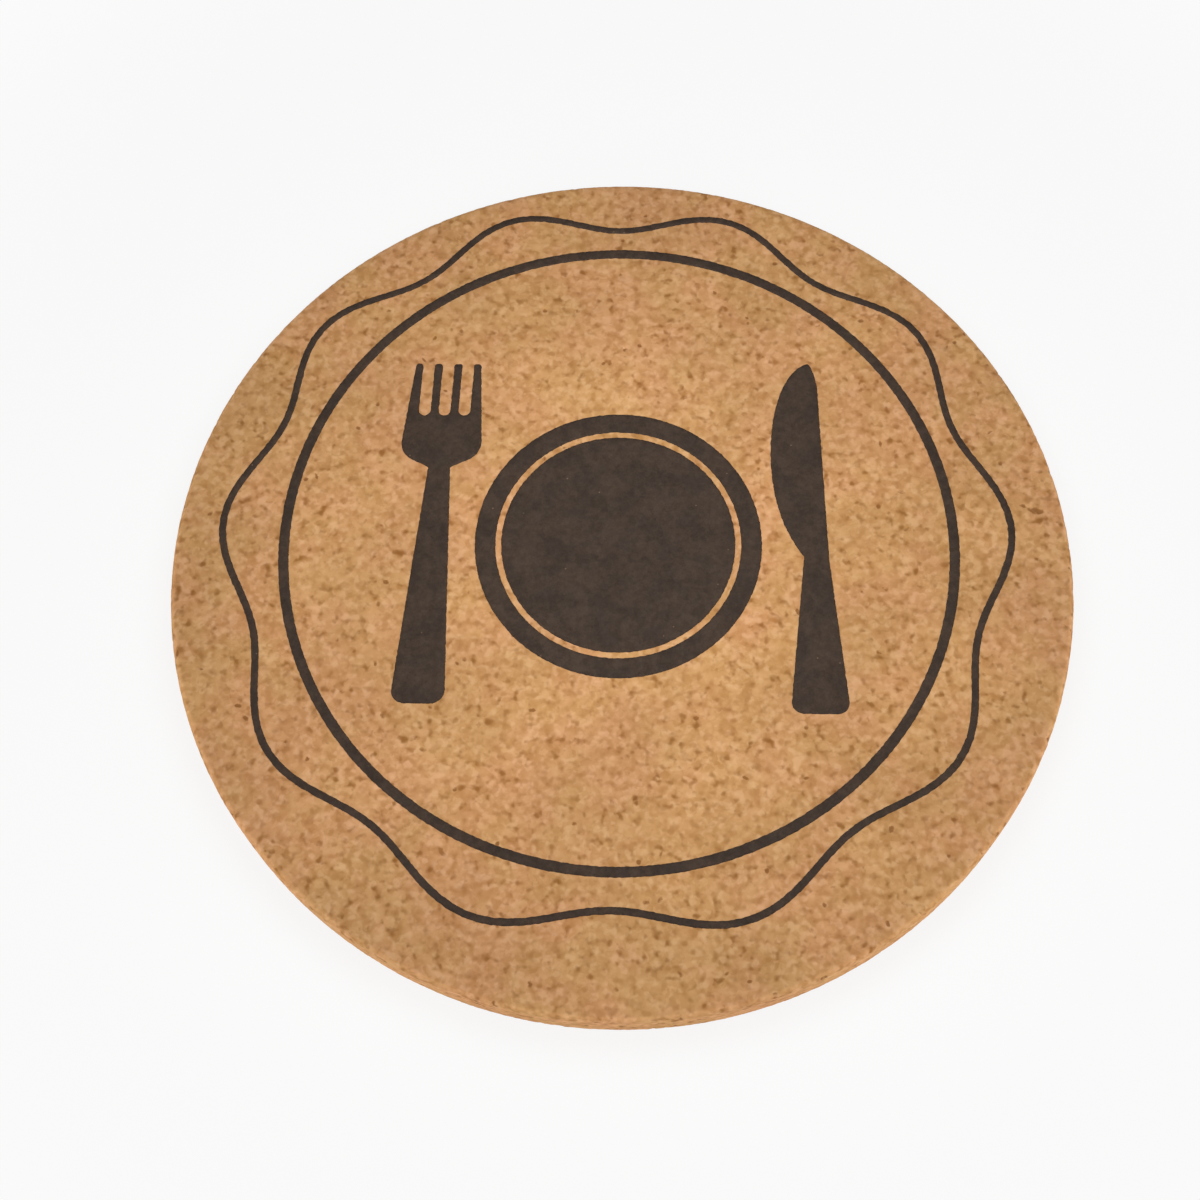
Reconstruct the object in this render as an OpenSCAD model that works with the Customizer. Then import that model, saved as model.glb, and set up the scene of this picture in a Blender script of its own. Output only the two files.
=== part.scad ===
// Round cork mat with a one-colour print of a table setting.
// The origin is the centre of the underside, +Z is up and +Y is the way the tines point.

/* [Cork disc] */
// Diameter of the disc
disc_d = 200; // [160:1:300]
// Thickness of the cork sheet
disc_t = 10; // [5:0.5:16]
// Rounding of the upper edge
top_round = 1.5; // [0.4:0.1:1.8]
// Rounding of the lower edge
bottom_round = 0.8; // [0.4:0.1:1.8]

/* [Print] */
// Depth to which the ink soaks into the cork
ink_depth = 0.3; // [0.1:0.05:1]
// Centre of the print to the right of the disc's centre
print_x = -0.6; // [-3:0.1:3]
// Centre of the print from the disc's centre, the way the tines point
print_y = 5.6; // [-6:0.1:6]
// Rounding of the fork's sharp corners
corner_round = 0.7; // [0.2:0.1:0.8]

/* [Scalloped line] */
// Mean line of the scallops, in from the disc's edge
scallop_margin = 14.9; // [12:0.1:24]
// Rise of a lobe above the mean line
scallop_rise = 3.2; // [1:0.1:4]
// Number of lobes
scallop_lobes = 10; // [6:1:14]
// Width of the line
scallop_w = 1.6; // [0.8:0.1:2.5]
// Centre of the scallops to the right of the print's centre
scallop_x = -0.6; // [-1:0.1:1]
// Centre of the scallops from the print's centre, the way the tines point
scallop_y = -0.8; // [-1:0.1:1]
// Turn of the left and right lobes, the way the tines point, in degrees
scallop_skew = 3.5; // [0:0.1:6]

/* [Plain circle] */
// Outer edge of the circle, in from the mean line of the scallops
circle_inset = 9.3; // [7:0.1:16]
// Width of the line
circle_w = 2.3; // [1:0.1:4]

/* [Plate symbol] */
// Inside radius of the plain circle for which the sizes of plate, fork and knife are given
symbol_field_r = 73.3; // [70:0.1:90]
// Diameter of the plate
plate_d = 63.8; // [45:0.1:78]
// Width of the plate's printed rim
rim_w = 4.6; // [2:0.1:10]
// Width of the unprinted ring inside the rim
reserve_w = 1.3; // [0.6:0.1:4]

/* [Fork] */
// Gap from the plate to the middle of the handle's end
fork_gap = 11; // [9:0.1:16]
// Middle of the fork from the print's centre, the way the tines point
fork_y = 3.3; // [-6:0.1:6]
// Slant of the fork towards the plate, in degrees
fork_slant = 2.2; // [0:0.1:5]
// Length of the fork
fork_l = 82.8; // [60:0.1:95]
// Width of the handle at its end
fork_handle_w = 11.6; // [8:0.1:14]
// Rounding of the handle's end
fork_end_round = 3; // [1:0.1:3.8]
// Width of the neck
fork_neck_w = 5; // [3:0.1:7]
// Length of the head, from the neck to the tips
fork_head_l = 26.6; // [22:0.1:34]
// Width of the head over the shoulders
fork_head_w = 18.2; // [16:0.1:22]
// Height of the shoulders
shoulder_h = 6.8; // [4:0.1:8]
// Width over the tips of the tines
tips_w = 15; // [12.4:0.1:18]
// Number of tines
tine_count = 4; // [3:1:4]
// Depth of the gaps between the tines
tine_l = 13.4; // [8:0.1:15]
// Width of the gaps between the tines
tine_gap = 2.7; // [2:0.1:3.3]
// Width of an outer tine at its tip
outer_tine_w = 1.6; // [1:0.1:2]

/* [Knife] */
// Gap from the plate to the middle of the handle's end
knife_gap = 12; // [10.5:0.1:16]
// Middle of the knife from the print's centre, the way the tines point
knife_y = 2.95; // [-6:0.05:6]
// Length of the knife
knife_l = 84.9; // [70:0.1:95]
// Width of the handle at its end
knife_handle_w = 12.4; // [8:0.1:15]
// Rounding of the handle's end
knife_end_round = 2.6; // [1:0.1:3.8]
// Width of the neck
knife_neck_w = 5.6; // [3:0.1:7]
// Length of the handle
knife_handle_l = 35.8; // [28:0.1:43]
// Reach of the cutting edge to the left of the handle's axis
belly_w = 9.7; // [7:0.1:12]
// Height of the widest place above the handle
belly_h = 25.2; // [18:0.1:30]
// Height of the heel above the handle
heel_h = 0.8; // [0.2:0.1:3]
// Tip to the left of the handle's axis
tip_x = 1; // [0:0.1:3]
// Back of the blade to the right of the handle's axis, where it bends to the tip
back_x = 1.3; // [0.6:0.1:2.8]
// Length of the bend from the back to the tip
tip_bend = 8.3; // [4:0.1:14]

/* [Hidden] */

cork = "#bb8c5c";
ink = "#3e352f";
$fn = 96;
// Steps of a rounded corner, of a free curve and of one lobe
corner_steps = 8;
curve_steps = 14;
lobe_steps = 18;
// Cuts run this far past a surface
past = 1;
// Pull of each free curve's two handles, as shares of its width and height
shoulder_pull = [[0.45, 0.3], [0, 0.72]];
back_pull = [[0, 0.5], [0.4, 0]];
edge_pull = [[0.58, 0.08], [0, 0.54]];
heel_pull = [[0, 0.4], [0.67, 0.25]];
// A corner's rounding takes at most this share of a tine's width
tine_share = 0.4;

disc_r = disc_d / 2;
ink_z = disc_t - ink_depth;
scallop_r = disc_r - scallop_margin;
circle_r = scallop_r - circle_inset;
symbol_scale = (circle_r - circle_w) / symbol_field_r;
plate_r = plate_d / 2;
tine_pitch = (tips_w - 2 * outer_tine_w - tine_gap) / (tine_count - 2);
tine_round = min(corner_round, tine_share * min(outer_tine_w, tine_pitch - tine_gap));

// Points on the rounding of a handle's right end corner, where the end lies on the X axis
function end_corner(w, r) = [for (i = [0:corner_steps]) let (a = 90 * i / corner_steps - 90)
    [w / 2 - r + r * cos(a), r + r * sin(a)]];

// Points on a cubic curve from a to b, whose handles are pulled by shares of its width and height
function curve(a, b, pull) = let (d = b - a,
                                  p = a + [pull[0].x * d.x, pull[0].y * d.y],
                                  q = b - [pull[1].x * d.x, pull[1].y * d.y])
    [for (i = [0:curve_steps]) let (t = i / curve_steps, u = 1 - t)
        u * u * u * a + 3 * u * u * t * p + 3 * u * t * t * q + t * t * t * b];

// The left half of an outline, from its right half
function mirrored(points) = [for (i = [len(points) - 1:-1:0]) [-points[i].x, points[i].y]];

// Radius of the wavy line at angle a, its slope there, and a point that lies off it by a distance
function lobe_angle(a) = scallop_lobes * (a - scallop_skew * cos(a));
function wave_r(a) = scallop_r + scallop_rise * cos(lobe_angle(a));
function wave_slope(a) = -scallop_rise * scallop_lobes * sin(lobe_angle(a))
    * (1 + scallop_skew * PI / 180 * sin(a));
function wave_point(a, off) = let (r = wave_r(a), s = wave_slope(a), k = off / norm([r, s]))
    (r + k * r) * [cos(a), sin(a)] - k * s * [-sin(a), cos(a)];
function wave(off) = let (n = scallop_lobes * lobe_steps) [for (i = [0:n - 1]) wave_point(360 * i / n, off)];

// Right half of the fork, from the handle's end over the shoulder to the outer tip
function fork_side() = let (neck = [fork_neck_w / 2, fork_l - fork_head_l],
                            shoulder = [fork_head_w / 2, neck.y + shoulder_h])
    concat(end_corner(fork_handle_w, fork_end_round),
           curve(neck, shoulder, shoulder_pull),
           [[tips_w / 2, fork_l]]);

// The knife, from the handle's right corner up the back, round the tip and down the cutting edge
function knife_outline() = let (end = end_corner(knife_handle_w, knife_end_round),
                                neck = [knife_neck_w / 2, knife_handle_l],
                                back = [back_x, knife_l - tip_bend],
                                tip = [-tip_x, knife_l],
                                belly = [-belly_w, knife_handle_l + belly_h],
                                heel = [-neck.x, knife_handle_l + heel_h])
    concat(end, [neck],
           curve(back, tip, back_pull),
           curve(tip, belly, edge_pull),
           curve(belly, heel, heel_pull),
           [[-neck.x, neck.y]], mirrored(end));

module ring(r, w) {
    difference() {
        circle(r);
        circle(r - w);
    }
}

module scallop_shape() {
    translate([scallop_x, scallop_y])
        difference() {
            polygon(wave(scallop_w / 2));
            polygon(wave(-scallop_w / 2));
        }
}

module circle_shape() {
    ring(circle_r, circle_w);
}

module rim_shape() {
    scale(symbol_scale)
        ring(plate_r, rim_w);
}

module centre_shape() {
    scale(symbol_scale)
        circle(plate_r - rim_w - reserve_w);
}

module tine_gap_shape() {
    translate([0, tine_gap / 2]) {
        circle(d = tine_gap);
        translate([-tine_gap / 2, 0])
            square([tine_gap, tine_l + past]);
    }
}

// Its children drawn over to the right as they rise, with level lines kept level
module slanted(angle) {
    multmatrix([[1, tan(angle), 0, 0],
                [0, 1, 0, 0],
                [0, 0, 1, 0],
                [0, 0, 0, 1]])
        children();
}

module fork_shape() {
    side = fork_side();
    scale(symbol_scale)
        translate([-plate_r - fork_gap, fork_y - fork_l / 2])
            slanted(fork_slant)
                offset(r = tine_round, $fn = 4 * corner_steps)
                    offset(delta = -tine_round)
                        difference() {
                            polygon(concat(side, mirrored(side)));
                            for (i = [1:tine_count - 1])
                                translate([tine_pitch * (i - tine_count / 2), fork_l - tine_l])
                                    tine_gap_shape();
                        }
}

module knife_shape() {
    scale(symbol_scale)
        translate([plate_r + knife_gap, knife_y - knife_l / 2])
            polygon(knife_outline());
}

// The layer that ink fills, from its depth up to the top face and any height above it
module ink_layer(above = 0) {
    translate([print_x, print_y, ink_z])
        linear_extrude(ink_depth + above)
            children();
}

// What a rounding takes off an upper right corner at the origin
module corner_waste(r) {
    translate([-r, -r])
        difference() {
            square(r + past);
            circle(r);
        }
}

// Half of the disc's cross-section
module disc_section() {
    difference() {
        square([disc_r, disc_t]);
        translate([disc_r, disc_t])
            corner_waste(top_round);
        translate([disc_r, 0])
            mirror([0, 1])
                corner_waste(bottom_round);
    }
}

module cork_disc() {
    color(cork)
        difference() {
            rotate_extrude()
                disc_section();
            ink_layer(past) scallop_shape();
            ink_layer(past) circle_shape();
            ink_layer(past) rim_shape();
            ink_layer(past) centre_shape();
            ink_layer(past) fork_shape();
            ink_layer(past) knife_shape();
        }
}

module scalloped_line() {
    color(ink) ink_layer() scallop_shape();
}

module circle_line() {
    color(ink) ink_layer() circle_shape();
}

module plate_rim() {
    color(ink) ink_layer() rim_shape();
}

module plate_centre() {
    color(ink) ink_layer() centre_shape();
}

module fork_print() {
    color(ink) ink_layer() fork_shape();
}

module knife_print() {
    color(ink) ink_layer() knife_shape();
}

cork_disc();
scalloped_line();
circle_line();
plate_rim();
plate_centre();
fork_print();
knife_print();
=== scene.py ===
import itertools
import math

import bpy
import numpy as np
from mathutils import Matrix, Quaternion, Vector, noise
from mathutils.geometry import delaunay_2d_cdt
from mathutils.kdtree import KDTree


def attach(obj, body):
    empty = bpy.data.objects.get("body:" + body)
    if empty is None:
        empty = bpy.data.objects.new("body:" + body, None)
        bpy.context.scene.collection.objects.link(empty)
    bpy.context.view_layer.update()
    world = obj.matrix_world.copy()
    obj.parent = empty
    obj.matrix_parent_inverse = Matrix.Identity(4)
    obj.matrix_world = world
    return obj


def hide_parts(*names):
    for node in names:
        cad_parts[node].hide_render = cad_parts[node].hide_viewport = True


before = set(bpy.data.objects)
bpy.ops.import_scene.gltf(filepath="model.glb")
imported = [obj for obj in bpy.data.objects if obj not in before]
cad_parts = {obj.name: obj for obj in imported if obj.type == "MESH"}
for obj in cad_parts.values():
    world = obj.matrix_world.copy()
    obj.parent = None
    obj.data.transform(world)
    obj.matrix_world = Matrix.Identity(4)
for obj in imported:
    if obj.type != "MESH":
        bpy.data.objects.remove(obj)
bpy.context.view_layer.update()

# Lengths are in millimetres, and MM turns them into the frame's metres.
MM = 0.001
INK_NODES = ["scalloped_line", "circle_line", "plate_rim", "plate_centre", "fork_print", "knife_print"]
SEED = 11

# Reading the frame: how near to a face a point counts as on it, the least rise of the normal of a face
# that looks up, and the number of digits to which points are compared
ON_FACE = 0.01
LOOKS_UP = 0.99
POINT_DIGITS = 3

# Meshes: distance between points on the top, the underside, the edge and the print's outlines
TOP_STEP = 0.95
UNDER_STEP = 1.7
EDGE_STEP = 0.5
OUTLINE_STEP = 0.4
# Rows of the upper rounding, the wall and the lower rounding
UPPER_ROWS, WALL_ROWS, LOWER_ROWS = 4, 12, 3
# Grid points of a face, as shares of its step: distance between rows, how far a point strays from its
# place, and how far it keeps from the points of pores
ROW_STEP = math.sqrt(0.75)
STRAY = 0.22
PORE_CLEAR = 0.6
# How far grid points keep from outlines, as a share of the outlines' step, and how near points count as one
OUTLINE_CLEAR = 0.45
SAME_POINT = 1e-6

# Cork: size of a granule, how many times flatter the press made it, how deep the lowest granule and the
# seams between granules lie, and how wide a seam is
GRAIN = 1.4
PRESSED = 1.8
GRAIN_DEPTH = 0.05
SEAM_DEPTH, SEAM_W = 0.05, 0.45
# Number of different granules, the factors that choose one for a cell, and a distance past any granule
GRAIN_KINDS = 8192
GRAIN_FACTORS = np.array([73856093, 19349663, 83492791])
FAR_OFF = 9.0
# Pores in the two faces and in the wall: number, half length, half width and depth from least to most
TOP_PORES, UNDER_PORES, WALL_PORES = 230, 150, 200
PORE_LENGTH = (0.6, 1.25)
PORE_WIDTH = (0.45, 0.8)
PORE_DEPTH = (0.08, 0.2)
# The one long pore that shows, near the right edge: place, half length, half width, turn and depth
LONG_PORE = (92.7, 14.3, 2.3, 0.9, -0.19, 0.3)
# Rings of points that shape a pore: share of its size and number of points
PORE_RINGS = ((0.55, 6), (1.0, 9))
# Crumbled places: number along each of the two edges, then radius, depth and slant from least to most
CHIPS = 46
CHIP_R = (0.9, 2.2)
CHIP_DEPTH = (0.15, 0.45)
CHIP_SLANT = (0.2, 1.2)
# Flat map of the cork: middle and radius of the top and the underside, then left, step, width, foot and
# length of the strips that hold the edge, and their number
TOP_MAP = (0.41, 0.405)
UNDER_MAP = (0.828, 0.168)
STRIP_MAP = (0.829, 0.043, 0.039, 0.002, 0.64)
STRIPS = 4
# Print: height of the ink above the cork, and its depth in the cork
INK_STAND, INK_SINK = 0.035, 0.05
# Ragged edges of the print: how far they stray and over what length, then the finer part of that, with how
# many times shorter it is, its share and its layer of the noise
EDGE_RAGGED, RAGGED_LENGTH = 0.11, 0.9
FINER, FINER_SHARE, FINER_LAYER = 2.3, 0.5, 7

# Camera: place, aim, roll in degrees, focal length, width of the sensor and nearest distance shown
CAMERA_AT = (3.45, -158.58, 389.02)
CAMERA_AIM = (-4.43, -8.2, 10.0)
CAMERA_ROLL = -2.23
LENS = 55.6
SENSOR = 36.0
CLIP_NEAR = 10.0

rng = np.random.default_rng(SEED)
disc = np.array([v.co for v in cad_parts["cork_disc"].data.vertices]) / MM
disc_far = np.hypot(disc[:, 0], disc[:, 1])
# The frame's disc has many flat sides, so its radius here is the least reach of its box.
disc_r = np.abs([disc.min(axis=0)[:2], disc.max(axis=0)[:2]]).min()
disc_t = disc[:, 2].max()
top_r = disc_far[disc[:, 2] > disc_t - ON_FACE].max()
under_r = disc_far[disc[:, 2] < ON_FACE].max()
upper_round, lower_round = disc_r - top_r, disc_r - under_r
rim_count = round(2 * math.pi * disc_r / EDGE_STEP)
rim_angles = 2 * math.pi * np.arange(rim_count) / rim_count


def circle(radius):
    return radius * np.stack([np.cos(rim_angles), np.sin(rim_angles)], axis=1)


# Outlines of the print


def outlines(node):
    """The closed outlines of a node's top face, each a list of points in turn."""
    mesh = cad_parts[node].data
    corner = [tuple(round(x / MM, POINT_DIGITS) for x in v.co[:2]) for v in mesh.vertices]
    ways = set()
    for face in mesh.polygons:
        if face.normal.z > LOOKS_UP:
            points = [corner[i] for i in face.vertices]
            ways.update(zip(points, points[1:] + points[:1]))
    after = {a: b for a, b in ways if (b, a) not in ways}
    found = []
    while after:
        start, point = after.popitem()
        loop = [start]
        while point != start:
            loop.append(point)
            point = after.pop(point)
        found.append(np.array(loop))
    return sorted(found, key=len)


def even_points(loop, step):
    """Points at even distances along a closed outline."""
    ends = np.vstack([loop, loop[:1]])
    along = np.append(0, np.cumsum(np.linalg.norm(np.diff(ends, axis=0), axis=1)))
    places = np.linspace(0, along[-1], round(along[-1] / step), endpoint=False)
    return np.stack([np.interp(places, along, ends[:, i]) for i in (0, 1)], axis=1)


def ragged(points):
    """The outline as ink leaves it on grainy cork."""
    ahead = np.roll(points, -1, axis=0) - np.roll(points, 1, axis=0)
    ahead /= np.linalg.norm(ahead, axis=1, keepdims=True)
    coarse = [noise.noise(Vector((x, y, 0)) / RAGGED_LENGTH) for x, y in points]
    fine = [noise.noise(Vector((x, y, FINER_LAYER)) / RAGGED_LENGTH * FINER) for x, y in points]
    off = EDGE_RAGGED * (np.array(coarse) + FINER_SHARE * np.array(fine))
    return points + off[:, None] * np.stack([ahead[:, 1], -ahead[:, 0]], axis=1)


def anticlockwise(points):
    x, y = points.T
    area = np.sum(x * np.roll(y, -1) - y * np.roll(x, -1))
    return points if area > 0 else points[::-1]


# Relief of the cork, as depths below the true surface

# Place in its cell and level of each kind of granule
GRAIN_TABLE = rng.random((GRAIN_KINDS, 4))


def granules(points):
    """The level of the granule at each point, from 0 to 1, and how much further off the next one is."""
    points = points * (1, 1, PRESSED)
    base = np.floor(points / GRAIN).astype(int)
    first = np.full(len(points), FAR_OFF)
    second = first.copy()
    level = np.zeros(len(points))
    for step in itertools.product((-1, 0, 1), repeat=3):
        cell = base + step
        pick = GRAIN_TABLE[np.bitwise_xor.reduce(cell * GRAIN_FACTORS, axis=1) % GRAIN_KINDS]
        gap = np.linalg.norm((cell + pick[:, :3]) * GRAIN - points, axis=1)
        nearer = gap < first
        second = np.where(nearer, first, np.minimum(second, gap))
        level = np.where(nearer, pick[:, 3], level)
        first = np.minimum(first, gap)
    return level, second - first


def grain_depth(points):
    level, seam = granules(points)
    return GRAIN_DEPTH * level + SEAM_DEPTH * np.clip(1 - seam / SEAM_W, 0, 1)


def pores(count, low, high):
    """Pores on a flat field: place, half length, half width, turn and depth."""
    return np.column_stack([
        rng.uniform(low, high, (count, 2)),
        rng.uniform(*PORE_LENGTH, count),
        rng.uniform(*PORE_WIDTH, count),
        rng.uniform(0, math.pi, count),
        rng.uniform(*PORE_DEPTH, count),
    ])


def pore_depth(field, found):
    """Depth of the pores at points on their flat field."""
    depth = np.zeros(len(field))
    for x, y, length, width, turn, deep in found:
        dx, dy = field[:, 0] - x, field[:, 1] - y
        along = (dx * math.cos(turn) + dy * math.sin(turn)) / length
        across = (dy * math.cos(turn) - dx * math.sin(turn)) / width
        depth = np.maximum(depth, deep * np.clip(1 - along**2 - across**2, 0, 1))
    return depth


def pore_points(found):
    """Points that give each pore its own rim, slope and bottom."""
    points = [found[:, :2]]
    c, s = np.cos(found[:, 4]), np.sin(found[:, 4])
    for share, count in PORE_RINGS:
        for turn in np.arange(count) * 2 * math.pi / count:
            along = share * found[:, 2] * math.cos(turn)
            across = share * found[:, 3] * math.sin(turn)
            off = np.stack([along * c - across * s, along * s + across * c], axis=1)
            points.append(found[:, :2] + off)
    return np.concatenate(points)


def chips(height):
    """Crumbled places on an edge of the disc: centre of a ball that bites it, and its radius."""
    radius = rng.uniform(*CHIP_R, CHIPS)
    out = radius - rng.uniform(*CHIP_DEPTH, CHIPS)
    turn = rng.uniform(0, 2 * math.pi, CHIPS)
    slant = rng.uniform(*CHIP_SLANT, CHIPS)
    far = disc_r + out * np.cos(slant)
    rise = out * np.sin(slant) * (1 if height > 0 else -1)
    return np.column_stack([far * np.cos(turn), far * np.sin(turn), height + rise, radius])


def chip_depth(points, found):
    depth = np.zeros(len(points))
    for x, y, z, radius in found:
        gap = np.linalg.norm(points - (x, y, z), axis=1)
        depth = np.maximum(depth, radius - gap)
    return depth


# Meshes


def nearest_of(points):
    """A tree that finds the nearest of some flat points."""
    made = KDTree(len(points))
    for i, (x, y) in enumerate(points):
        made.insert((x, y, 0), i)
    made.balance()
    return made


def away_from(taken, points, gap):
    """The points that lie more than a gap away from all the taken ones."""
    nearest = nearest_of(taken)
    return points[[nearest.find((x, y, 0))[2] > gap for x, y in points]]


def filled(rim, loops, extra, step):
    """Triangles over a round face: points, triangles and, for each triangle, the loops that hold it."""
    reach = np.linalg.norm(rim[0])
    columns = np.arange(-reach, reach, step)
    levels = np.arange(-reach, reach, step * ROW_STEP)
    grid = np.array([(x + step / 2 * (i % 2), y) for i, y in enumerate(levels) for x in columns])
    grid += rng.uniform(-STRAY, STRAY, grid.shape) * step
    if len(extra):
        grid = np.concatenate([extra, away_from(extra, grid, PORE_CLEAR * step)])
    grid = grid[np.hypot(grid[:, 0], grid[:, 1]) < reach]
    fixed = np.concatenate([rim, *loops])
    points = np.concatenate([fixed, away_from(fixed, grid, OUTLINE_CLEAR * OUTLINE_STEP)])
    starts = np.cumsum([0, len(rim)] + [len(loop) for loop in loops])
    faces = [list(range(a, b)) for a, b in zip(starts, starts[1:])]
    cut = delaunay_2d_cdt([Vector(p) for p in points], [], faces, 0, SAME_POINT, True)
    flat, _, triangles, _, _, held = cut
    return np.array([tuple(p) for p in flat]), np.array(triangles), held


def placed(name, data):
    """A new object in the scene."""
    made = bpy.data.objects.new(name, data)
    bpy.context.scene.collection.objects.link(made)
    return made


def new_piece(name, points, faces):
    """A smooth mesh that rides on the one body; the script gives it its material later."""
    mesh = bpy.data.meshes.new(name)
    mesh.from_pydata((points * MM).tolist(), [], faces)
    mesh.polygons.foreach_set("use_smooth", [True] * len(faces))
    mesh.validate()
    piece = placed(name, mesh)
    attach(piece, "root")
    return piece


def mark(piece, name, values):
    """A share from 0 to 1 at each point of a piece, for its material to read."""
    shares = piece.data.attributes.new(name, "FLOAT", "POINT")
    shares.data.foreach_set("value", np.clip(values, 0, 1).astype(np.float32))


def rim_rows():
    """Rows of the edge from the top to the underside: radius, height and slant of each."""
    upper = np.linspace(math.pi / 2, 0, UPPER_ROWS + 1)
    lower = np.linspace(0, -math.pi / 2, LOWER_ROWS + 1)
    wall = np.linspace(disc_t - upper_round, lower_round, WALL_ROWS + 1)[1:-1]
    rows = [(top_r + upper_round * math.cos(a), disc_t - upper_round * (1 - math.sin(a)), a) for a in upper]
    rows += [(disc_r, z, 0.0) for z in wall]
    rows += [(under_r + lower_round * math.cos(a), lower_round * (1 + math.sin(a)), a) for a in lower]
    return rows


loops_of = {}
for node in INK_NODES:
    loops_of[node] = [anticlockwise(ragged(even_points(loop, OUTLINE_STEP))) for loop in outlines(node)]
all_loops = [loop for node in INK_NODES for loop in loops_of[node]]
loop_owner = [node for node in INK_NODES for _ in loops_of[node]]

top_pores = np.vstack([pores(TOP_PORES, -disc_r, disc_r), LONG_PORE])
under_pores = pores(UNDER_PORES, -disc_r, disc_r)
around = 2 * math.pi * disc_r
wall_pores = pores(WALL_PORES, (0, 0), (around, disc_t))
edge_chips = np.concatenate([chips(disc_t), chips(0.0)])

top_flat, top_faces, top_held = filled(circle(top_r), all_loops, pore_points(top_pores), TOP_STEP)
under_flat, under_faces, _ = filled(circle(under_r), [], np.zeros((0, 2)), UNDER_STEP)

# The whole skin of the cork: true points, the way out of the cork there, and faces
rows = rim_rows()
top_points = np.column_stack([top_flat, np.full(len(top_flat), disc_t - INK_STAND)])
under_points = np.column_stack([under_flat, np.zeros(len(under_flat))])
wall_points, wall_out, wall_field = [], [], []
for radius, height, slant in rows[1:-1]:
    level = np.full(rim_count, height)
    wall_points.append(np.column_stack([circle(radius), level]))
    wall_out.append(np.column_stack([circle(math.cos(slant)), np.full(rim_count, math.sin(slant))]))
    wall_field.append(np.column_stack([rim_angles * disc_r, level]))
wall_points, wall_out, wall_field = (np.concatenate(x) for x in (wall_points, wall_out, wall_field))

up = np.array([0.0, 0.0, 1.0])
points = np.concatenate([top_points, wall_points, under_points])
outward = np.concatenate([
    np.tile(up, (len(top_points), 1)),
    wall_out,
    np.tile(-up, (len(under_points), 1)),
])
pits = np.concatenate([
    pore_depth(top_flat, top_pores),
    pore_depth(wall_field, wall_pores),
    pore_depth(under_flat, under_pores),
])
crumbs = chip_depth(points, edge_chips)
depth = grain_depth(points) + np.maximum(pits, crumbs)
skin = points - depth[:, None] * outward

first_wall = len(top_points)
first_under = first_wall + len(wall_points)
row_starts = [0] + [first_wall + i * rim_count for i in range(len(rows) - 2)] + [first_under]
wall_faces = []
for a, b in zip(row_starts, row_starts[1:]):
    for i in range(rim_count):
        j = (i + 1) % rim_count
        wall_faces.append((a + i, b + i, b + j, a + j))
cork_faces = [tuple(t) for t in top_faces.tolist()] + wall_faces
cork_faces += [tuple(t[::-1]) for t in (under_faces + first_under).tolist()]

cork_piece = new_piece("cork_disc_grained", skin, cork_faces)
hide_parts("cork_disc")
mark(cork_piece, "pit", pits / PORE_DEPTH[1])
# How far each point faces sideways, which the cork material turns into painted light on the edge
mark(cork_piece, "cut", np.hypot(outward[:, 0], outward[:, 1]))


def flat_map():
    """Place of each face corner on the flat map, in the order of the faces."""
    ends = np.array(rows)[:, :2]
    across = np.append(0, np.cumsum(np.linalg.norm(np.diff(ends, axis=0), axis=1)))
    across /= across[-1]
    left, step, width, foot, length = STRIP_MAP
    turn = STRIPS * np.arange(rim_count) / rim_count
    strip = np.floor(turn)
    low = foot + length * (turn - strip)
    high = low + length * STRIPS / rim_count
    middle, radius = TOP_MAP
    corners = [(middle + radius * top_flat / disc_r)[top_faces].reshape(-1, 2)]
    for a, b in zip(across, across[1:]):
        near, far = (left + step * strip + width * share for share in (a, b))
        corners.append(np.stack([near, low, far, low, far, high, near, high], axis=1).reshape(-1, 2))
    middle, radius = UNDER_MAP
    corners.append((middle + radius * under_flat * (-1, 1) / disc_r)[under_faces[:, ::-1]].reshape(-1, 2))
    return np.concatenate(corners)


cork_map = cork_piece.data.uv_layers.new(name="OFBake")
cork_map.data.foreach_set("uv", flat_map().ravel().astype(np.float32))

ink_pieces = []
for node in INK_NODES:
    # The face has the rim as its first loop, so the print's loops count from 1.
    ours = {i + 1 for i, owner in enumerate(loop_owner) if owner == node}
    chosen = np.array([len(ours & set(held)) % 2 == 1 for held in top_held])
    triangles = top_faces[chosen]
    used, packed = np.unique(triangles, return_inverse=True)
    packed = packed.reshape(-1, 3)
    upper = skin[used] + INK_STAND * up
    lower = skin[used] - INK_SINK * up
    ways = {(a, b) for t in packed.tolist() for a, b in zip(t, t[1:] + t[:1])}
    side = [(b, a, a + len(used), b + len(used)) for a, b in ways if (b, a) not in ways]
    faces = packed.tolist() + sorted(side) + (packed[:, ::-1] + len(used)).tolist()
    piece = new_piece(node + "_ink", np.concatenate([upper, lower]), faces)
    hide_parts(node)
    ink_pieces.append(piece)


# Shader nodes

WHITE = (1, 1, 1, 1)
# Middle of a noise's or a ramp's range
MIDDLE = 0.5


def add(tree, kind, inputs=(), **settings):
    """A shader node with its settings made and its inputs set or linked."""
    made = tree.nodes.new("ShaderNode" + kind)
    for name, value in settings.items():
        setattr(made, name, value)
    for name, value in dict(inputs).items():
        if isinstance(value, bpy.types.NodeSocket):
            tree.links.new(value, made.inputs[name])
        else:
            made.inputs[name].default_value = value
    return made


def maths(tree, operation, a, b):
    return add(tree, "Math", {0: a, 1: b}, operation=operation).outputs[0]


def vector_maths(tree, operation, inputs):
    return add(tree, "VectorMath", inputs, operation=operation).outputs


def between(tree, value, step):
    """A soft step of a value: the two ends of its range, and what they become."""
    low, high, to_low, to_high = step
    ends = {"Value": value, 1: low, 2: high, 3: to_low, 4: to_high}
    return add(tree, "MapRange", ends, interpolation_type="SMOOTHSTEP").outputs[0]


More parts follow.
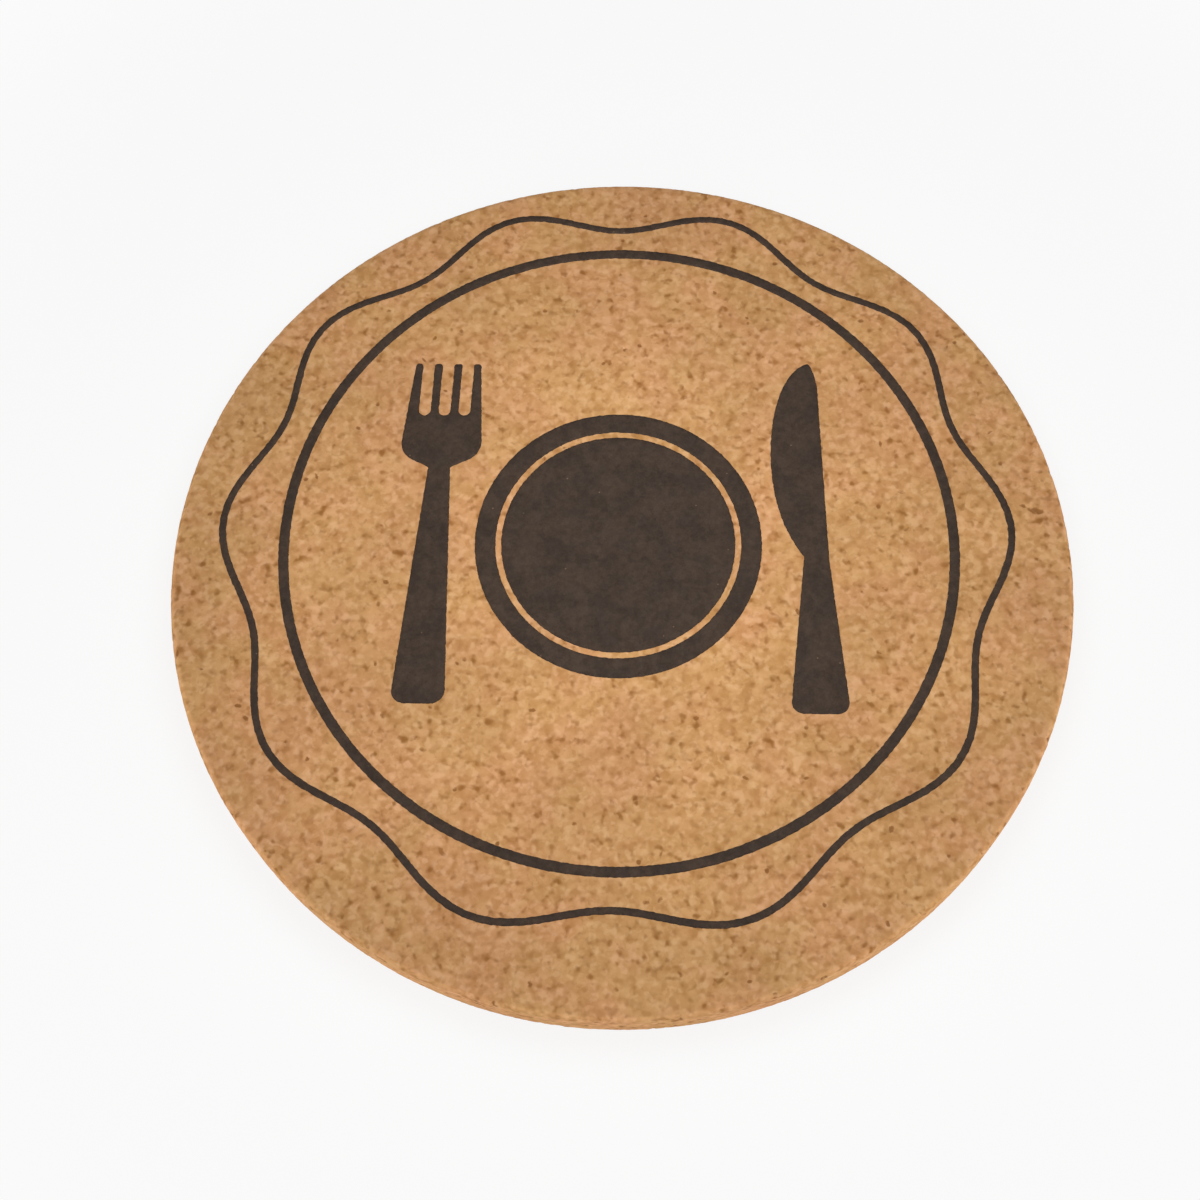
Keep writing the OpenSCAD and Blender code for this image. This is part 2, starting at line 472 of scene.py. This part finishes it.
def mixed(tree, share, a, b, blend="MIX"):
    made = add(tree, "Mix", {0: share, 6: a, 7: b}, data_type="RGBA", blend_type=blend)
    return made.outputs[2]


def speckle(tree, at, size, detail):
    return add(tree, "TexNoise", {"Vector": at, "Scale": 1 / size, "Detail": detail}).outputs


def cells(tree, at, size, feature="F1"):
    return add(tree, "TexVoronoi", {"Vector": at, "Scale": 1 / size}, feature=feature).outputs


def split(tree, colour):
    """Three separate values from a colour."""
    return add(tree, "SeparateColor", {0: colour}).outputs


def total(tree, values, shares):
    """The sum of values, each times its share."""
    terms = [maths(tree, "MULTIPLY", value, share) for value, share in zip(values, shares)]
    while len(terms) > 1:
        terms.append(maths(tree, "ADD", terms.pop(0), terms.pop(0)))
    return terms[0]


def ramp(tree, share, stops):
    made = add(tree, "ValToRGB", {0: share})
    line = made.color_ramp.elements
    while len(line) < len(stops):
        line.new(MIDDLE)
    for element, (place, colour) in zip(line, stops):
        element.position = place
        element.color = (*colour, 1)
    return made.outputs[0]


def new_material(name):
    made = bpy.data.materials.new(name)
    made.use_nodes = True
    return made, made.node_tree, made.node_tree.nodes["Principled BSDF"]


# Granules, which cork and ink share

# Size of a granule, then size, detail and reach of the noise that pushes granules out of shape
SHADER_GRAIN = 1.7
PUSH_NOISE = (1.3, 2.0)
PUSH_REACH = 1.6
# Soft step of a granule's height from its seam inward
DOME = (0.0, 0.25, 0.0, 1.0)
# Height of the shaders' relief at full strength
BUMP_DISTANCE = 0.1


def millimetres(tree):
    """Places on the object in millimetres, with heights drawn out so that patterns come out flatter."""
    place = add(tree, "TexCoord").outputs["Object"]
    return vector_maths(tree, "MULTIPLY", {0: place, 1: (1 / MM, 1 / MM, PRESSED / MM)})[0]


def warped(tree, at):
    """Places pushed about by soft noise, so that granules aren't plain polygons."""
    push = speckle(tree, at, *PUSH_NOISE)["Color"]
    middle = vector_maths(tree, "SUBTRACT", {0: push, 1: (MIDDLE, MIDDLE, MIDDLE)})[0]
    shift = vector_maths(tree, "SCALE", {0: middle, "Scale": PUSH_REACH})[0]
    return vector_maths(tree, "ADD", {0: at, 1: shift})[0]


def granule_parts(tree, at):
    """Random values of the granule at a place, and how far its seam is."""
    loose = warped(tree, at)
    seam = cells(tree, loose, SHADER_GRAIN, "DISTANCE_TO_EDGE")["Distance"]
    return split(tree, cells(tree, loose, SHADER_GRAIN)["Color"]), seam


def set_surface(tree, shader, colour, height, bump, rough, specular):
    """Gives a shader its colour, relief and gloss."""
    relief = add(tree, "Bump", {"Strength": bump, "Distance": BUMP_DISTANCE * MM, "Height": height})
    tree.links.new(colour, shader.inputs["Base Color"])
    tree.links.new(relief.outputs[0], shader.inputs["Normal"])
    tree.links.new(rough, shader.inputs["Roughness"])
    shader.inputs["Specular IOR Level"].default_value = specular


# Cork

# Colours of the granules from dark to pale, then of brown shades, dark specks, pale flecks, seams and pores
CORK_TONES = [
    (0.0, (0.2, 0.066, 0.008)),
    (0.35, (0.458, 0.216, 0.072)),
    (0.65, (0.625, 0.336, 0.15)),
    (1.0, (0.77, 0.45, 0.235)),
]
BROWN = (0.42, 0.19, 0.058, 1)
SPECK = (0.275, 0.106, 0.02, 1)
FLECK = (0.765, 0.452, 0.245, 1)
SEAM = (0.44, 0.21, 0.076, 1)
PORE = (0.27, 0.107, 0.026, 1)
# The two tints between which the colour drifts
PEACH, OCHRE = (1.022, 0.974, 0.96, 1), (0.99, 1.002, 0.9, 1)
# Size and detail of each noise
SPOT_NOISE = (2.2, 1.0)
PATCH_NOISE = (9.0, 2.0)
SLOW_NOISE = (24.0, 2.0)
SMALL_NOISE = (1.8, 0.7)
FINE_NOISE = (0.9, 1.0)
# Shares of granules, spots and fine noise in the tone, and the tone's base
TONE_SHARES = (0.15, 0.47, 0.12)
TONE_BASE = 0.245
# Shares of small spots, spots, granules and fine noise in the dark specks
SPECK_SHARES = (0.64, 0.27, 0.06, 0.08)
# Shares of slow noise and patches in the tint, and of pores and fine noise in a pore's stain
TINT_SHARES = (0.5, 0.5)
STAIN_SHARES = (1.0, 1.2)
# Shares of granules, spots and fine noise in the height
CORK_HEIGHT = (1.0, 0.6, 0.5)
# How much paler the colour of the cut edge is made than the faces, as painted light on the wall that faces
# sideways
EDGE_PAINTED_LIGHT = 1.18
# Soft steps: where flecks, shades, seams, specks, tints and stains set in and how strong they get
SPOT_FLECKS = (0.55, 0.72, 0.0, 0.5)
SMALL_FLECKS = (0.54, 0.72, 0.0, 0.54)
SHADES = (0.48, 0.7, 0.0, 0.5)
SEAM_LINES = (0.0, 0.25, 0.22, 0.0)
SEAM_PATCHES = (0.46, 0.62, 0.0, 1.0)
SPECKS = (0.53, 0.75, 0.0, 0.86)
SPECK_PATCHES = (0.38, 0.6, 0.35, 1.0)
TINTS = (0.4, 0.6, 0.0, 1.0)
STAINS = (0.75, 1.4, 0.0, 0.85)
# Soft steps of the colour's brightness over slow noise and over the cut edge, where it is painted light,
# and of the roughness
SLOW_LEVELS = (0.3, 0.7, 0.95, 1.05)
EDGE_PAINTED_LIGHT_LEVELS = (0.0, 0.6, 1.0, EDGE_PAINTED_LIGHT)
CORK_ROUGH = (0.0, 1.0, 0.8, 0.95)
# Strength of the relief and of the gloss
CORK_BUMP = 0.18
CORK_SPECULAR = 0.2


def cork_material():
    made, tree, shader = new_material("agglomerated_cork")
    at = millimetres(tree)
    grain, seam = granule_parts(tree, at)
    spots, patches, slow, small = (
        split(tree, speckle(tree, at, *kind)["Color"])
        for kind in (SPOT_NOISE, PATCH_NOISE, SLOW_NOISE, SMALL_NOISE)
    )
    fine = speckle(tree, at, *FINE_NOISE)[0]

    tone = total(tree, (grain[0], spots[2], fine), TONE_SHARES)
    colour = ramp(tree, maths(tree, "ADD", tone, TONE_BASE), CORK_TONES)
    flecks = [between(tree, spots[1], SPOT_FLECKS), between(tree, small[1], SMALL_FLECKS)]
    colour = mixed(tree, maths(tree, "MAXIMUM", *flecks), colour, FLECK)
    colour = mixed(tree, between(tree, spots[0], SHADES), colour, BROWN)
    lines = [between(tree, patches[1], SEAM_PATCHES), between(tree, seam, SEAM_LINES)]
    colour = mixed(tree, maths(tree, "MULTIPLY", *lines), colour, SEAM)
    bits = total(tree, (small[0], spots[0], grain[1], fine), SPECK_SHARES)
    specks = [between(tree, patches[0], SPECK_PATCHES), between(tree, bits, SPECKS)]
    colour = mixed(tree, maths(tree, "MULTIPLY", *specks), colour, SPECK)

    drift = total(tree, (slow[0], patches[2]), TINT_SHARES)
    tint = mixed(tree, between(tree, drift, TINTS), PEACH, OCHRE)
    colour = mixed(tree, 1.0, colour, tint, "MULTIPLY")
    # The cut edge's colour is made paler by how far it faces sideways: painted light on the wall
    cut = add(tree, "Attribute", attribute_name="cut").outputs["Fac"]
    levels = [between(tree, slow[1], SLOW_LEVELS), between(tree, cut, EDGE_PAINTED_LIGHT_LEVELS)]
    colour = mixed(tree, 1.0, colour, maths(tree, "MULTIPLY", *levels), "MULTIPLY")
    pit = add(tree, "Attribute", attribute_name="pit").outputs["Fac"]
    stain = total(tree, (pit, fine), STAIN_SHARES)
    colour = mixed(tree, between(tree, stain, STAINS), colour, PORE)

    dome = maths(tree, "MULTIPLY", grain[2], between(tree, seam, DOME))
    height = total(tree, (dome, spots[2], fine), CORK_HEIGHT)
    rough = between(tree, grain[2], CORK_ROUGH)
    set_surface(tree, shader, colour, height, CORK_BUMP, rough, CORK_SPECULAR)
    return made


# Ink

# Colours of the ink, and of the cork that shows in its pinholes
INK_DARK = (0.044, 0.0298, 0.0215, 1)
INK_WARM = (0.058, 0.0378, 0.0265, 1)
PINHOLE = (0.22, 0.14, 0.085, 1)
# Size and detail of each noise, and distance between places that may have a pinhole
INK_PATCH_NOISE = (6.0, 3.0)
INK_MOTTLE_NOISE = (1.4, 1.0)
INK_FINE_NOISE = (0.5, 3.0)
HOLE_STEP = 2.4
# Shares of granules and fine noise in the height
INK_HEIGHT = (1.0, 0.4)
# Soft steps of the tint over patches, of the brightness over mottle and fine noise, and of the roughness
INK_TINTS = (0.35, 0.65, 0.0, 1.0)
MOTTLE_LEVELS = (0.3, 0.7, 0.89, 1.11)
FINE_LEVELS = (0.25, 0.75, 0.88, 1.12)
INK_ROUGH = (0.0, 1.0, 0.7, 0.85)
# Soft steps of a pinhole's edge and of its chance
HOLE_EDGE = (0.05, 0.1, 1.0, 0.0)
HOLE_CHANCE = (0.84, 0.88, 0.0, 0.6)
# Strength of the relief and of the gloss
INK_BUMP = 0.35
INK_SPECULAR = 0.15


def ink_material():
    made, tree, shader = new_material("screen_print_ink")
    at = millimetres(tree)
    grain, seam = granule_parts(tree, at)
    patches, mottle, fine = (
        speckle(tree, at, *kind)[0]
        for kind in (INK_PATCH_NOISE, INK_MOTTLE_NOISE, INK_FINE_NOISE)
    )
    colour = mixed(tree, between(tree, patches, INK_TINTS), INK_DARK, INK_WARM)
    levels = [between(tree, mottle, MOTTLE_LEVELS), between(tree, fine, FINE_LEVELS)]
    colour = mixed(tree, 1.0, colour, maths(tree, "MULTIPLY", *levels), "MULTIPLY")
    hole = cells(tree, at, HOLE_STEP)
    chance = between(tree, split(tree, hole["Color"])[0], HOLE_CHANCE)
    holes = [between(tree, hole["Distance"], HOLE_EDGE), chance]
    colour = mixed(tree, maths(tree, "MULTIPLY", *holes), colour, PINHOLE)

    dome = maths(tree, "MULTIPLY", grain[2], between(tree, seam, DOME))
    height = total(tree, (dome, fine), INK_HEIGHT)
    rough = between(tree, grain[1], INK_ROUGH)
    set_surface(tree, shader, colour, height, INK_BUMP, rough, INK_SPECULAR)
    return made


cork_piece.data.materials.append(cork_material())
ink = ink_material()
for piece in ink_pieces:
    piece.data.materials.append(ink)

# Floor, light and camera

# Floor: radius, number of sides, how far it lies below the object, and colour
FLOOR_R = 4000.0
FLOOR_SIDES = 64
FLOOR_DROP = 0.02
FLOOR_GREY = (0.9, 0.9, 0.9, 1)
# The floor shows shade close to the object and is white further off: white's share, and the two distances
FLOOR_WHITE = 0.86
FLOOR_NEAR, FLOOR_FAR = 130.0, 330.0
# Strength of the even surround
WORLD_LEVEL = 0.325
# Softbox over the object, and two low ones for its edge: place, width and power
KEY = ((6.0, 6.0, 165.0), 140.0, 0.185)
LEFT = ((-424.0, -265.0, 95.0), 200.0, 0.85)
RIGHT = ((424.0, -265.0, 95.0), 200.0, 0.85)


def seen_directly(tree):
    """1 for rays that show the surface to the camera, straight or by way of gloss or glass."""
    path = add(tree, "LightPath").outputs
    shown = maths(tree, "MAXIMUM", path["Is Camera Ray"], path["Is Glossy Ray"])
    return maths(tree, "MAXIMUM", shown, path["Is Transmission Ray"])


def floor():
    turns = [2 * math.pi * i / FLOOR_SIDES for i in range(FLOOR_SIDES)]
    ring = [(FLOOR_R * MM * math.cos(a), FLOOR_R * MM * math.sin(a), -FLOOR_DROP * MM) for a in turns]
    mesh = bpy.data.meshes.new("floor")
    mesh.from_pydata(ring, [], [list(range(FLOOR_SIDES))])
    made = placed("floor", mesh)
    paint, tree, base = new_material("white_floor")
    base.inputs["Base Color"].default_value = FLOOR_GREY
    base.inputs["Roughness"].default_value = 1.0
    base.inputs["Specular IOR Level"].default_value = 0.0
    glow = add(tree, "Emission", {"Color": WHITE, "Strength": 1.0})
    place = add(tree, "TexCoord").outputs["Object"]
    off = vector_maths(tree, "LENGTH", {0: place})["Value"]
    white = between(tree, off, (FLOOR_NEAR * MM, FLOOR_FAR * MM, FLOOR_WHITE, 1.0))
    share = maths(tree, "MULTIPLY", seen_directly(tree), white)
    both = add(tree, "MixShader", {0: share, 1: base.outputs[0], 2: glow.outputs[0]})
    tree.links.new(both.outputs[0], tree.nodes["Material Output"].inputs["Surface"])
    mesh.materials.append(paint)


def surroundings():
    world = bpy.data.worlds.new("studio")
    world.use_nodes = True
    tree = world.node_tree
    dim = tree.nodes["Background"]
    dim.inputs["Color"].default_value = WHITE
    dim.inputs["Strength"].default_value = WORLD_LEVEL
    bright = add(tree, "Background", {"Color": WHITE, "Strength": 1.0})
    both = add(tree, "MixShader", {0: seen_directly(tree), 1: dim.outputs[0], 2: bright.outputs[0]})
    tree.links.new(both.outputs[0], tree.nodes["World Output"].inputs["Surface"])
    bpy.context.scene.world = world


def pointed(made, at, aim, roll=0.0):
    """Puts a lamp or a camera at a place, facing another."""
    made.location = Vector(at) * MM
    made.rotation_mode = "QUATERNION"
    level = (Vector(aim) - Vector(at)).to_track_quat("-Z", "Y")
    made.rotation_quaternion = level @ Quaternion((0, 0, 1), math.radians(roll))


def lamp(name, at, size, power):
    """A round softbox that faces the object."""
    data = bpy.data.lights.new(name, "AREA")
    data.shape = "DISK"
    data.size = size * MM
    data.energy = power
    made = placed(name, data)
    pointed(made, at, (0, 0, 0))
    made.visible_camera = False


def camera():
    data = bpy.data.cameras.new("camera")
    data.lens = LENS
    data.sensor_width = SENSOR
    data.clip_start, data.clip_end = CLIP_NEAR * MM, 2 * FLOOR_R * MM
    made = placed("camera", data)
    pointed(made, CAMERA_AT, CAMERA_AIM, CAMERA_ROLL)
    bpy.context.scene.camera = made


floor()
surroundings()
lamp("key", *KEY)
lamp("left", *LEFT)
lamp("right", *RIGHT)
camera()
bpy.context.scene.view_settings.view_transform = "Standard"
